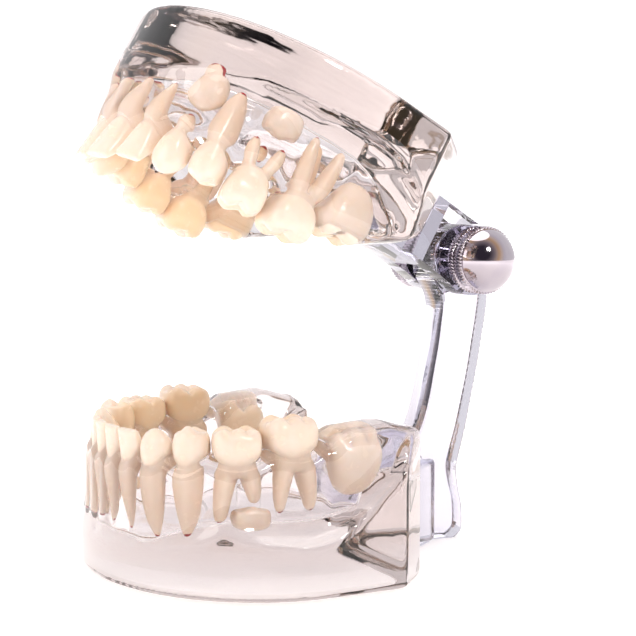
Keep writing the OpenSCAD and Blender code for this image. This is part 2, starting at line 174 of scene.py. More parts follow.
# ridge thickness outwards and inwards, and height of the crest, against the arch length
LOWER_OUTER = [(0, 3.5), (10, 3.9), (22, 4.9), (36, 6.0), (62, 6.8)]
RIDGE_INNER = [(0, 4.6), (22, 5.2), (36, 6.2), (62, 6.8)]
LOWER_CREST = [(0, 24.5), (30, 25.2), (44, 26.6), (49, 30.4), (58, 31.2), (64, 29.5)]
LOWER_WIDTHS = [5.2, 5.7, 6.6, 6.8, 9.4, 10.4]
TOOTH_GAP = 0.2
PAPILLA = 1.7
ROOT_SWELL = 0.35
COVE_REACH, COVE_HEIGHT = 2.4, 2.2
RIDGE_REACH = 66.0
RIDGE_TOP_ROUND = 2.6
LOWER_RIDGE_FOOT = 2
TONGUE_FLOOR, TONGUE_GAP = 10.0, 6.2
WALL_TOP, BACK_GAP = 17.5, [(-17, 14), (17, 14), (17, 34), (-17, 34)]
SKIN_GRAIN, SKIN_SOFTNESS = 0.6, 12


def only(piece):
    """Selects this object alone and makes it active."""
    bpy.ops.object.select_all(action="DESELECT")
    piece.select_set(True)
    bpy.context.view_layer.objects.active = piece


def pick(piece, kind, test):
    """Goes into edit mode with the faces or edges that pass the test selected."""
    only(piece)
    bpy.ops.object.mode_set(mode="EDIT")
    bpy.ops.mesh.select_mode(type=kind)
    bpy.ops.mesh.select_all(action="DESELECT")
    bpy.ops.object.mode_set(mode="OBJECT")
    points = piece.data.vertices
    for item in piece.data.polygons if kind == "FACE" else piece.data.edges:
        item.select = test(item, points)
    bpy.ops.object.mode_set(mode="EDIT")


def finish_with(piece, kind, **settings):
    """Adds a modifier and applies it."""
    only(piece)
    change = piece.modifiers.new("change", kind)
    for key, value in settings.items():
        setattr(change, key, value)
    bpy.ops.object.modifier_apply(modifier=change.name)


def combine(piece, tool, operation):
    """Joins the tool to the piece, or cuts the piece with it, and throws the tool away."""
    finish_with(piece, "BOOLEAN", operation=operation, object=tool, solver="EXACT")
    bpy.data.objects.remove(tool)


def face_out(piece, merge=True):
    """Turns every face outwards, after merging doubles unless told not to."""
    only(piece)
    bpy.ops.object.mode_set(mode="EDIT")
    bpy.ops.mesh.select_all(action="SELECT")
    if merge:
        bpy.ops.mesh.remove_doubles(threshold=1e-5)
    bpy.ops.mesh.normals_make_consistent(inside=False)
    bpy.ops.object.mode_set(mode="OBJECT")


def slab(outline, axis, start, length):
    """A flat face with this outline, pushed out along X or Z by the extrude operator."""
    mesh = bpy.data.meshes.new("slab")
    corners = [(start, a, b) if axis == "X" else (a, b, start) for a, b in outline]
    mesh.from_pydata(corners, [], [list(range(len(corners)))])
    piece = bpy.data.objects.new("slab", mesh)
    bpy.context.scene.collection.objects.link(piece)
    pick(piece, "FACE", lambda face, points: True)
    push = (length, 0, 0) if axis == "X" else (0, 0, length)
    bpy.ops.mesh.extrude_region_move(TRANSFORM_OT_translate={"value": push})
    bpy.ops.object.mode_set(mode="OBJECT")
    face_out(piece)
    return piece


def base_plate(front, curve, low, high, low_round, high_round):
    """The plan of a jaw base: half an oval in front, a straight block behind, its heels cut."""
    bpy.ops.object.select_all(action="DESELECT")
    middle_y = front + curve
    bpy.ops.mesh.primitive_cylinder_add(vertices=192, radius=1, depth=high - low,
                                        location=(0, middle_y, (low + high) / 2),
                                        scale=(BASE_HALF, curve, 1))
    plate = bpy.context.object
    bpy.ops.object.transform_apply(location=True, rotation=True, scale=True)
    pick(plate, "FACE", lambda face, points: True)
    bpy.ops.mesh.bisect(plane_co=(0, middle_y + 0.01, 0), plane_no=(0, 1, 0),
                        use_fill=True, clear_outer=True)
    bpy.ops.object.mode_set(mode="OBJECT")
    pick(plate, "FACE", lambda face, points: face.normal.y > 0.9)
    bpy.ops.mesh.extrude_region_move(TRANSFORM_OT_translate={"value": (0, BASE_BACK - middle_y - 0.01, 0)})
    for side in (-1, 1):
        bpy.ops.mesh.select_all(action="SELECT")
        bpy.ops.mesh.bisect(plane_co=(side * BASE_HALF, BASE_BACK - HEEL_CUT[1], 0),
                            plane_no=(side * HEEL_CUT[1], HEEL_CUT[0], 0),
                            use_fill=True, clear_outer=True)
    bpy.ops.object.mode_set(mode="OBJECT")
    face_out(plate)
    for height, rounding in ((low, low_round), (high, high_round)):
        pick(plate, "EDGE",
             lambda edge, points: all(abs(points[i].co.z - height) < 0.01 for i in edge.vertices))
        bpy.ops.mesh.bevel(offset=rounding, segments=5, affect="EDGES")
        bpy.ops.object.mode_set(mode="OBJECT")
    face_out(plate)
    return plate


def arch_of(size):
    """A dental arch: half an ellipse in front, with its running length, and straight branches."""
    turns = np.arange(0, 91, 2)
    xs, ys = size[0] * np.sin(np.radians(turns)), size[2] - size[1] * np.cos(np.radians(turns))
    return size, np.concatenate([[0], np.cumsum(np.hypot(np.diff(xs), np.diff(ys)))]), turns


def arch_point(arch, s):
    """Place and heading, in radians, at a distance s from the midline; negative s is the right."""
    (half, depth, centre_y), lengths, turns = arch
    q, side = abs(s), (-1 if s < 0 else 1)
    turn = math.radians(np.interp(min(q, lengths[-1]), lengths, turns))
    x, y = half * math.sin(turn), centre_y - depth * math.cos(turn)
    if q > lengths[-1]:
        x, y = half + BRANCH_SPREAD * (q - lengths[-1]), centre_y + q - lengths[-1]
    heading = math.atan2(depth * math.sin(turn), half * math.cos(turn))
    return side * x, y, side * heading


def at(table, s):
    """Looks up a table of (place, value) rows."""
    return float(np.interp(abs(s), [row[0] for row in table], [row[1] for row in table]))


def tooth_centres(widths):
    """Distance of each tooth's centre from the midline, along the arch."""
    centres, run = [], TOOTH_GAP / 2
    for width in widths:
        centres.append(run + width / 2)
        run += width + TOOTH_GAP
    return centres


def gum_wave(widths, s):
    """1 between two teeth and 0 in the middle of a tooth, fading out behind the last tooth."""
    for centre, width in zip(tooth_centres(widths), widths):
        if abs(abs(s) - centre) <= width / 2 + TOOTH_GAP / 2:
            return min(1.0, abs(abs(s) - centre) / (width / 2)) ** 2
    return 1.0 if abs(s) < 1 else 0.0


def bent_ball(name, around, along, put):
    """A ball whose rings become the sections of a longer form: put(share along, share round)."""
    bpy.ops.object.select_all(action="DESELECT")
    bpy.ops.mesh.primitive_uv_sphere_add(segments=around, ring_count=along, radius=1)
    piece = bpy.context.object
    piece.name = name
    for point in piece.data.vertices:
        x, y, z = point.co
        share = math.acos(max(-1.0, min(1.0, -z))) / math.pi
        point.co = put(round(share * along) / along, (math.atan2(y, x) / math.tau) % 1.0)
    face_out(piece)
    return piece


def ridge(name, arch, widths, foot, crests, outers, shelf):
    """The tooth-bearing ridge: a rounded wall bent round the arch, with a wavy gum margin, a
    slight swelling over each root and a cove at its foot."""
    up = 1 if at(crests, 0) > foot else -1
    shelf_y, shelf_z = [row[0] for row in shelf], [row[1] for row in shelf]

    def put(along, around):
        s = (2 * along - 1) * RIDGE_REACH
        x, y, heading = arch_point(arch, s)
        wave = gum_wave(widths, s)
        crest = at(crests, s) + up * PAPILLA * (wave - 0.35)
        outer, inner = at(outers, s), at(RIDGE_INNER, s)
        outer += ROOT_SWELL * (1 - wave)
        straight = crest - up * RIDGE_TOP_ROUND
        if along in (0, 1):
            return (x, y, (crest + foot) / 2)
        if around < 0.25:
            offset, z = -inner, foot + (straight - foot) * around / 0.25
        elif around < 0.75:
            turn = math.pi * (around - 0.25) / 0.5
            offset = -math.cos(turn) * (inner if turn < math.pi / 2 else outer)
            z = straight + up * RIDGE_TOP_ROUND * math.sin(turn) ** 0.8
        else:
            offset, z = outer, straight + (foot - straight) * (around - 0.75) / 0.25
            ledge = float(np.interp(y, shelf_y, shelf_z))
            offset += COVE_REACH * math.exp(-max(0.0, up * (z - ledge)) / COVE_HEIGHT)
        return (x + offset * math.sin(heading), y - offset * math.cos(heading), z)

    return bent_ball(name, 56, 264, put)


def inner_plan(arch, gap):
    """The outline inside the arch, a gap away from its line."""
    plan = []
    for s in np.arange(-58, 58.1, 2):
        x, y, heading = arch_point(arch, s)
        plan.append((x - gap * math.sin(heading), y + gap * math.cos(heading)))
    return plan


def melt(piece, grain, softness):
    """Closes all joins into one skin of even faces and rounds its edges, as a cast block has."""
    finish_with(piece, "REMESH", mode="VOXEL", voxel_size=grain, use_smooth_shade=True)
    finish_with(piece, "SMOOTH", factor=0.5, iterations=softness)


def to_metres(piece, name, turn=None):
    """Names the piece and turns its millimetres into metres, after an optional turn."""
    if turn is not None:
        piece.data.transform(turn)
    piece.data.transform(Matrix.Scale(MM, 4))
    piece.name = name
    piece.data.name = name
    piece.data.update()


LOWER_ARCH = arch_of(LOWER_ARCH_SIZE)
lower_casting = slab(LOWER_SHELF, "X", -40, 80)
combine(lower_casting, ridge("lower_ridge", LOWER_ARCH, LOWER_WIDTHS, LOWER_RIDGE_FOOT, LOWER_CREST,
                             LOWER_OUTER, LOWER_SHELF[1:-2]), "UNION")
combine(lower_casting, base_plate(LOWER_FRONT, LOWER_CURVE, 0, LOWER_TOP, EDGE_ROUND, TOOTH_EDGE_ROUND),
        "INTERSECT")
tongue_form = slab(inner_plan(LOWER_ARCH, TONGUE_GAP), "Z", TONGUE_FLOOR, 30)
melt(tongue_form, 0.9, 10)
combine(lower_casting, tongue_form, "DIFFERENCE")
combine(lower_casting, slab(BACK_GAP, "Z", WALL_TOP, 20), "DIFFERENCE")
melt(lower_casting, SKIN_GRAIN, SKIN_SOFTNESS)
to_metres(lower_casting, "lower_jaw_casting")

# Polyester casting resin: clear with a faint rosy grey cast in depth, glossy from polishing.
# Its surface carries soft ripples about 7 mm across from the mould, and a fainter, finer orange
# peel about 1.5 mm across. Lamps shine through it to the teeth.
resin, tree = new_finish("clear_polyester_casting_resin")
place = step(tree, "ShaderNodeTexCoord")
ripple = step(tree, "ShaderNodeTexNoise", values={"Scale": 1 / 0.007, "Detail": 1.0},
              links={"Vector": place.outputs["Object"]})
peel = step(tree, "ShaderNodeTexNoise", values={"Scale": 1 / 0.0015, "Detail": 1.0},
            links={"Vector": place.outputs["Object"]})
wavy = step(tree, "ShaderNodeBump", values={"Strength": 0.2, "Distance": 0.0003},
            links={"Height": ripple.outputs["Fac"]})
peeled = step(tree, "ShaderNodeBump", values={"Strength": 0.06, "Distance": 0.00003},
              links={"Height": peel.outputs["Fac"], "Normal": wavy.outputs["Normal"]})
polish = step(tree, "ShaderNodeMapRange", values={"To Min": 0.01, "To Max": 0.05},
              links={"Value": ripple.outputs["Fac"]})
block = step(tree, "ShaderNodeBsdfPrincipled",
             values={"Base Color": linear("FBFAFC"), "IOR": 1.54, "Transmission Weight": 1.0},
             links={"Normal": peeled.outputs["Normal"], "Roughness": polish.outputs["Result"]})
clear_way = step(tree, "ShaderNodeBsdfTransparent", values={"Color": linear("F4F2F5")})
rays = step(tree, "ShaderNodeLightPath")
skin = step(tree, "ShaderNodeMixShader",
            links={0: rays.outputs["Is Shadow Ray"], 1: block.outputs[0], 2: clear_way.outputs[0]})
depth = step(tree, "ShaderNodeVolumeAbsorption",
             values={"Color": (0.74, 0.67, 0.65, 1), "Density": 25.0})
step(tree, "ShaderNodeOutputMaterial", links={"Surface": skin.outputs[0], "Volume": depth.outputs[0]})
lower_casting.data.materials.append(resin)
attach(lower_casting, "lower_half")
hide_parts("lower_jaw_body")

# ---------------------------------------------------------------------------------------------
# Lower arm: one piece of clear acrylic sheet, 8 mm thick, cut to a swan-neck and polished, with
# a wider foot against the back of the lower jaw and an eye for the rod at its top. Its clear
# screw and dowels can't be told from it inside the plastic, so it stands for them too.
PIVOT_Y, PIVOT_Z = 52.7, 59.3
ARM_THICK = 8.0
EYE_RADIUS = 7.2
ROD_HOLE = 2.55
RIM_ROUND, FOOT_ROUND = 0.5, 1.0
SHARP_ANGLE = math.radians(32)
ARM_BACK = [(53.0, 0.8), (53.8, 2.2), (53.7, 7), (52.9, 10.6), (52.4, 14.1), (52.7, 16.8), (54.4, 22.9),
            (56.0, 30), (57.3, 36), (58.4, 42), (59.3, 47), (59.8, 51), (59.9, 55), (59.9, 59.3)]
ARM_FRONT = [(45.5, 59.3), (46.2, 55.9), (47.9, 53), (48.9, 50), (48.6, 46.5), (47.9, 41.5), (46.9, 36.5),
             (45.9, 31.5), (44.7, 27), (43.1, 23.2), (40.8, 20.2), (37.5, 18.2), (34, 17.5), (28.02, 17.5)]
FOOT_PLAN = [(-12, 28.02), (12, 28.02), (12, 33), (9.8, 39.5), (6.2, 44.6), (4, 47), (-4, 47), (-6.2, 44.6),
             (-9.8, 39.5), (-12, 33)]
FOOT_TOP = 17.5


def flowing(points, pieces):
    """A smooth line through the points, as a bent spline lies."""
    rows = [np.array(point, float) for point in points]
    rows = [2 * rows[0] - rows[1]] + rows + [2 * rows[-1] - rows[-2]]
    line = []
    for a, b, c, d in zip(rows, rows[1:], rows[2:], rows[3:]):
        for t in np.arange(pieces) / pieces:
            line.append(0.5 * (2 * b + (c - a) * t + (2 * a - 5 * b + 4 * c - d) * t * t
                               + (3 * b - a - 3 * c + d) * t ** 3))
    return [tuple(point) for point in line] + [tuple(rows[-2])]


def rod_bore(piece, y, z, radius, reach):
    """Drills through along X."""
    bpy.ops.object.select_all(action="DESELECT")
    bpy.ops.mesh.primitive_cylinder_add(vertices=64, radius=radius, depth=2 * reach, location=(0, y, z),
                                        rotation=(0, math.pi / 2, 0))
    drill = bpy.context.object
    bpy.ops.object.transform_apply(location=True, rotation=True, scale=True)
    combine(piece, drill, "DIFFERENCE")


def soften_rims(piece, half, rounding):
    """Rounds the rims of a sheet part, on its two faces at X = half and X = -half."""
    pick(piece, "EDGE",
         lambda edge, points: all(abs(abs(points[i].co.x) - half) < 0.01 for i in edge.vertices))
    bpy.ops.mesh.bevel(offset=rounding, segments=3, affect="EDGES")
    bpy.ops.object.mode_set(mode="OBJECT")
    face_out(piece)


eye_arc = [(PIVOT_Y + EYE_RADIUS * math.cos(math.radians(a)),
            PIVOT_Z + EYE_RADIUS * math.sin(math.radians(a))) for a in range(6, 180, 6)]
arm = slab([(28.02, 0), (52, 0)] + flowing(ARM_BACK, 4) + eye_arc + flowing(ARM_FRONT, 4),
           "X", -ARM_THICK / 2, ARM_THICK)
soften_rims(arm, ARM_THICK / 2, RIM_ROUND)
foot = slab(FOOT_PLAN, "Z", 0, FOOT_TOP)
pick(foot, "EDGE", lambda edge, points: True)
bpy.ops.mesh.bevel(offset=FOOT_ROUND, segments=3, affect="EDGES")
bpy.ops.object.mode_set(mode="OBJECT")
combine(arm, foot, "UNION")
rod_bore(arm, PIVOT_Y, PIVOT_Z, ROD_HOLE, 10)
only(arm)
bpy.ops.object.shade_smooth_by_angle(angle=SHARP_ANGLE)
to_metres(arm, "lower_acrylic_arm")

# Cast acrylic sheet: clearer and flatter than the resin, a trace of lilac in its depth, with
# faint polishing lines along the arm about 0.4 mm apart.
acrylic, tree = new_finish("cast_acrylic_sheet")
place = step(tree, "ShaderNodeTexCoord")
along_arm = step(tree, "ShaderNodeMapping", {"vector_type": "POINT"},
                 {"Scale": (2500, 2500, 250)}, {"Vector": place.outputs["Object"]})
rubbed = step(tree, "ShaderNodeTexNoise", values={"Scale": 1.0, "Detail": 2},
              links={"Vector": along_arm.outputs["Vector"]})
sway = step(tree, "ShaderNodeTexNoise", values={"Scale": 1 / 0.02, "Detail": 0.5},
            links={"Vector": place.outputs["Object"]})
swayed = step(tree, "ShaderNodeBump", values={"Strength": 0.25, "Distance": 0.0004},
              links={"Height": sway.outputs["Fac"]})
lines = step(tree, "ShaderNodeBump", values={"Strength": 0.04, "Distance": 0.00001},
             links={"Height": rubbed.outputs["Fac"], "Normal": swayed.outputs["Normal"]})
polish = step(tree, "ShaderNodeMapRange", values={"To Min": 0.01, "To Max": 0.04},
              links={"Value": rubbed.outputs["Fac"]})
sheet = step(tree, "ShaderNodeBsdfPrincipled",
             values={"Base Color": linear("F6F5FA"), "IOR": 1.49, "Transmission Weight": 1.0},
             links={"Normal": lines.outputs["Normal"], "Roughness": polish.outputs["Result"]})
clear_way = step(tree, "ShaderNodeBsdfTransparent", values={"Color": linear("F4F2F5")})
rays = step(tree, "ShaderNodeLightPath")
skin = step(tree, "ShaderNodeMixShader",
            links={0: rays.outputs["Is Shadow Ray"], 1: sheet.outputs[0], 2: clear_way.outputs[0]})
depth = step(tree, "ShaderNodeVolumeAbsorption",
             values={"Color": (0.54, 0.53, 0.62, 1), "Density": 62.0})
step(tree, "ShaderNodeOutputMaterial", links={"Surface": skin.outputs[0], "Volume": depth.outputs[0]})
arm.data.materials.append(acrylic)
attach(arm, "lower_half")
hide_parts("lower_arm", "lower_arm_screw", "lower_arm_dowels")

# ---------------------------------------------------------------------------------------------
# Upper jaw: cast like the lower one, with a thicker base, a vaulted palate with its cross folds
# and bulging ends behind the last molars. It is shaped level and then swung open at the rod.
UPPER_FRONT, UPPER_CURVE, UPPER_LOW, UPPER_TOP = -29.0, 38.5, 36.0, 70.0
UPPER_SHELF = [(-40, 85), (-40, 58), (-24, 57), (-14, 60), (7, 61), (14, 60.5), (20, 57), (25.5, 52.4),
               (40, 51), (40, 85)]
UPPER_ARCH_SIZE = (24.6, 25, 1)
UPPER_OUTER = [(0, 3.4), (10, 3.8), (22, 5.0), (36, 6.2), (62, 6.8)]
UPPER_CREST = [(0, 45.3), (24, 46.4), (44, 44.8), (49, 43.2), (56, 43.8), (63, 48), (66, 51)]
UPPER_WIDTHS = [8, 6.2, 6.6, 6.8, 8.4, 9.8]
UPPER_RIDGE_FOOT = 68
# the palate: gap to the tooth line, rim heights, then (middle y, z, radius) up the vault
PALATE_GAP, PALATE_RIM = 5.6, (34, 41)
PALATE_VAULT = ((2, 57, 10), (14, 57.4, 11), (32, 52, 11))
# the cross folds: half width, from y to y, spacing, height and sweep back
FOLD_HALF, FOLD_FROM, FOLD_TO, FOLD_PITCH, FOLD_RISE, FOLD_SWEEP = 12, -18, -3, 2.7, 0.3, 0.35
OPEN_ANGLE = 29.3
hinge_line = Matrix.Translation((0, PIVOT_Y, PIVOT_Z))
SWING = hinge_line @ Matrix.Rotation(math.radians(-OPEN_ANGLE), 4, "X") @ hinge_line.inverted()


def palate_form(arch):
    """The hollow of the palate: the plan inside the arch drawn up to a narrower vault."""
    plan = inner_plan(arch, PALATE_GAP)
    corners = [(x, y, z) for z in PALATE_RIM for x, y in plan]
    for middle_y, z, radius in PALATE_VAULT:
        corners += [(radius * math.cos(a), middle_y + radius * math.sin(a), z)
                    for a in np.linspace(0, math.tau, 32, endpoint=False)]
    mesh = bpy.data.meshes.new("palate_form")
    mesh.from_pydata(corners, [], [])
    form = bpy.data.objects.new("palate_form", mesh)
    bpy.context.scene.collection.objects.link(form)
    only(form)
    bpy.ops.object.mode_set(mode="EDIT")
    bpy.ops.mesh.select_all(action="SELECT")
    bpy.ops.mesh.convex_hull()
    bpy.ops.object.mode_set(mode="OBJECT")
    melt(form, 1.0, 14)
    return form


UPPER_ARCH = arch_of(UPPER_ARCH_SIZE)
upper_casting = slab(UPPER_SHELF, "X", -40, 80)
combine(upper_casting, ridge("upper_ridge", UPPER_ARCH, UPPER_WIDTHS, UPPER_RIDGE_FOOT, UPPER_CREST,
                             UPPER_OUTER, UPPER_SHELF[1:-1]), "UNION")
combine(upper_casting, base_plate(UPPER_FRONT, UPPER_CURVE, UPPER_LOW, UPPER_TOP, TOOTH_EDGE_ROUND,
                                  EDGE_ROUND), "INTERSECT")
combine(upper_casting, palate_form(UPPER_ARCH), "DIFFERENCE")
melt(upper_casting, SKIN_GRAIN, SKIN_SOFTNESS)
for point in upper_casting.data.vertices:
    x, y, z = point.co
    if point.normal.z < -0.35 and abs(x) < FOLD_HALF and FOLD_FROM < y < FOLD_TO:
        fold = (math.sin(math.tau * (y + FOLD_SWEEP * abs(x)) / FOLD_PITCH)
                * math.sin(math.pi * (y - FOLD_FROM) / (FOLD_TO - FOLD_FROM)))
        point.co.z -= FOLD_RISE * fold * min(1.0, abs(x) / 1.5) * max(0.0, 1 - abs(x) / FOLD_HALF)
to_metres(upper_casting, "upper_jaw_casting", SWING)
upper_casting.data.materials.append(resin)
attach(upper_casting, "upper_half")
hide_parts("upper_jaw_body")

# ---------------------------------------------------------------------------------------------
# Fork: a clear acrylic block screwed to the back of the upper jaw. Its two round ears stand each
# side of the arm's eye, and the rod passes through all three. It stands for its clear screws.
FORK_SIDE = [(28.02, 53), (40, 53.4), (47, 52.8), (50, 52.4), (52.7, 53), (52.7, 66), (50, 66.3), (44, 66.6),
             (36, 67), (28.02, 67.2)]
EAR_RADIUS = 7.4
EAR_IN, EAR_OUT = 4.3, 9.0
FORK_SLOT = 9.0
fork = slab(FORK_SIDE, "X", -EAR_OUT, 2 * EAR_OUT)
bpy.ops.object.select_all(action="DESELECT")
bpy.ops.mesh.primitive_cylinder_add(vertices=96, radius=EAR_RADIUS, depth=2 * EAR_OUT,
                                    location=(0, PIVOT_Y, PIVOT_Z), rotation=(0, math.pi / 2, 0))
ears = bpy.context.object
bpy.ops.object.transform_apply(location=True, rotation=True, scale=True)
combine(fork, ears, "UNION")
finish_with(fork, "BEVEL", width=RIM_ROUND, segments=3, limit_method="ANGLE", angle_limit=math.radians(50))
combine(fork, slab([(-EAR_IN, PIVOT_Y - FORK_SLOT), (EAR_IN, PIVOT_Y - FORK_SLOT),
                    (EAR_IN, 70), (-EAR_IN, 70)], "Z", 40, 40), "DIFFERENCE")
rod_bore(fork, PIVOT_Y, PIVOT_Z, ROD_HOLE, 12)
only(fork)
bpy.ops.object.shade_smooth_by_angle(angle=SHARP_ANGLE)
to_metres(fork, "upper_acrylic_fork", SWING)
fork.data.materials.append(acrylic)
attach(fork, "upper_half")
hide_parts("upper_fork", "upper_fork_screws")

# ---------------------------------------------------------------------------------------------
# Pivot rod: a 5 mm steel rod, threaded at its ends, which clamps the ears on the eye. Most of it
# shows only through the clear plastic, as a grey bar with fine thread lines 0.8 mm apart.
steel, tree = new_finish("turned_stainless_steel")
place = step(tree, "ShaderNodeTexCoord")
thread = step(tree, "ShaderNodeTexWave",
              {"wave_type": "BANDS", "bands_direction": "X", "wave_profile": "SIN"},
              {"Scale": 2 * math.pi / 0.0008 / 20, "Distortion": 0.0}, {"Vector": place.outputs["Object"]})
grain = step(tree, "ShaderNodeTexNoise", values={"Scale": 1 / 0.0006, "Detail": 2},
             links={"Vector": place.outputs["Object"]})
cut = step(tree, "ShaderNodeBump", values={"Strength": 0.6, "Distance": 0.0002},
           links={"Height": thread.outputs["Fac"]})
wear = step(tree, "ShaderNodeMapRange", values={"To Min": 0.18, "To Max": 0.34},
            links={"Value": grain.outputs["Fac"]})
bar = step(tree, "ShaderNodeBsdfPrincipled", values={"Base Color": linear("B9B6B4"), "Metallic": 1.0},
           links={"Normal": cut.outputs["Normal"], "Roughness": wear.outputs["Result"]})
step(tree, "ShaderNodeOutputMaterial", links={"Surface": bar.outputs[0]})
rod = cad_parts["pivot_rod"]
for slot in rod.material_slots:
    slot.material = steel

# ---------------------------------------------------------------------------------------------
# Collars and knobs: brass turned in a lathe, knurled and chrome plated. On each side a knurled
# collar locks against the ear, and a ball-ended knob with its own knurled band tightens on it.
KNURL_TEETH = 60
KNURL_DEPTH = 0.42
DOME_RADIUS, DOME_MIDDLE = 6.94, 11.96
# rows of (x, radius, share of the knurling)
COLLAR_ROWS = [(9.32, 0, 0), (9.32, 3, 0), (9.32, 6.1, 0), (9.36, 6.45, 0.2), (9.5, 6.8, 0.7),
               (9.68, 6.93, 1), (10.35, 6.93, 1), (11.02, 6.93, 1), (11.2, 6.8, 0.7),
               (11.34, 6.45, 0.2), (11.38, 6.1, 0), (11.38, 3, 0), (11.38, 0, 0)]
KNOB_ROWS = [(11.52, 0, 0), (11.52, 3, 0), (11.52, 5.6, 0), (11.56, 5.72, 0), (11.98, 5.74, 0),
             (12.02, 6.1, 0), (12.06, 6.45, 0.2), (12.2, 6.8, 0.7), (12.38, 6.93, 1), (13.2, 6.93, 1),
             (14.02, 6.93, 1), (14.2, 6.8, 0.7), (14.34, 6.5, 0.2), (14.38, 6.25, 0), (14.56, 6.2, 0)]
KNOB_ROWS += [(DOME_MIDDLE + DOME_RADIUS * math.cos(math.radians(a)),
               DOME_RADIUS * math.sin(math.radians(a)), 0)
              for a in (65, 61, 57, 52, 47, 42, 37, 32, 27, 22, 17, 12, 8, 4, 0)]


def turned(name, rows):
    """A part turned about the rod's line, with the knurling pressed into its bands."""

    def put(along, around):
        x, radius, knurl = rows[round(along * (len(rows) - 1))]
        angle = around * math.tau
        radius -= KNURL_DEPTH * knurl * (0.5 - 0.5 * math.cos(KNURL_TEETH * angle)) ** 0.8
        return (x, PIVOT_Y + radius * math.cos(angle), PIVOT_Z + radius * math.sin(angle))

    piece = bent_ball(name, 6 * KNURL_TEETH, len(rows) - 1, put)
    only(piece)
    bpy.ops.object.shade_smooth_by_angle(angle=math.radians(40))
    to_metres(piece, name)
    return piece


# Bright chrome on polished brass: almost a mirror, with hair scratches from handling and a faint
# haze about 3 mm across. Its colour is a painted reflection: a darkened lilac grey that stands in
# for the mauve floor that the metal reflects.
chrome, tree = new_finish("bright_chrome_plate")
place = step(tree, "ShaderNodeTexCoord")
haze = step(tree, "ShaderNodeTexNoise", values={"Scale": 1 / 0.003, "Detail": 3},
            links={"Vector": place.outputs["Object"]})
hair = step(tree, "ShaderNodeTexNoise", values={"Scale": 1 / 0.0004, "Detail": 1},
            links={"Vector": place.outputs["Object"]})
scratched = step(tree, "ShaderNodeBump", values={"Strength": 0.05, "Distance": 0.00001},
                 links={"Height": hair.outputs["Fac"]})
gloss = step(tree, "ShaderNodeMapRange", values={"To Min": 0.03, "To Max": 0.11},
             links={"Value": haze.outputs["Fac"]})
# painted reflection: both lilac grey tones stand in for the mauve of the reflected floor, and the haze varies
# them a little
haze_and_painted_reflection_tone = step(tree, "ShaderNodeMix", {"data_type": "RGBA"},
                  {"A": linear("B3ABB6"), "B": linear("C2BABF")}, {"Factor": haze.outputs["Fac"]})
plating = step(tree, "ShaderNodeBsdfPrincipled", values={"Metallic": 1.0},
               links={"Base Color": haze_and_painted_reflection_tone.outputs["Result"], "Roughness": gloss.outputs["Result"],
                      "Normal": scratched.outputs["Normal"]})
step(tree, "ShaderNodeOutputMaterial", links={"Surface": plating.outputs[0]})
MIRROR = Matrix.Scale(-1, 4, (1, 0, 0))
for part, rows, stands_for in (("turned_collar", COLLAR_ROWS, "lock_collar"),
                               ("turned_knob", KNOB_ROWS, "knob")):
    left = turned("left_" + part, rows)
    left.data.materials.append(chrome)
    right = left.copy()
    right.data = left.data.copy()
    bpy.context.scene.collection.objects.link(right)
    right.name = right.data.name = "right_" + part
    right.data.transform(MIRROR)
    right.data.flip_normals()
    for side, piece in (("left", left), ("right", right)):
        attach(piece, side + ("_collar" if stands_for == "lock_collar" else "_knob"))
        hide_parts(side + "_" + stands_for)

